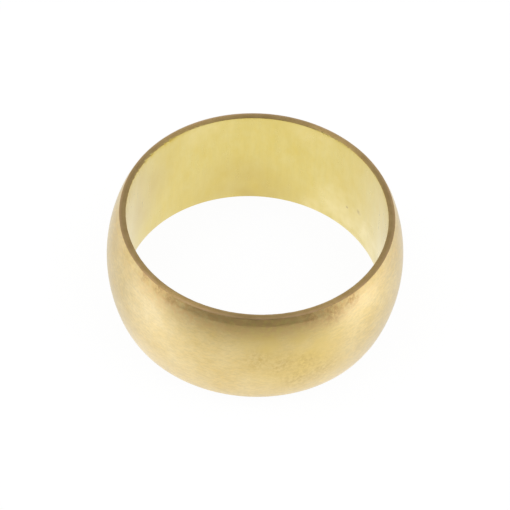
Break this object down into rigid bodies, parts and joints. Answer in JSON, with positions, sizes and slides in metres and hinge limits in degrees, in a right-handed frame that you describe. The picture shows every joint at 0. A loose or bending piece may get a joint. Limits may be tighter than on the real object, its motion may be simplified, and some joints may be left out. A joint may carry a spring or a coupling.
{
  "type": "compression olive",
  "caption": "One-piece brass compression ring with a plain bore, flat ends, seat cones and a barrel crown, squeezed between fitting cone and nut to seal on a tube.",
  "frame": {"origin": "centre of the bore on the lower end face, which the ring stands on", "axes": "+Z along the bore axis, from the lower end face to the upper one; the ring is round, so X and Y are any two directions across it"},
  "size_m": [0.0254, 0.0254, 0.0102],
  "materials": {
    "brass": "satin, turned on the crown and drawn in the bore"
  },
  "bodies": {
    "root": {"olive": "brass"}
  },
  "joints": []
}
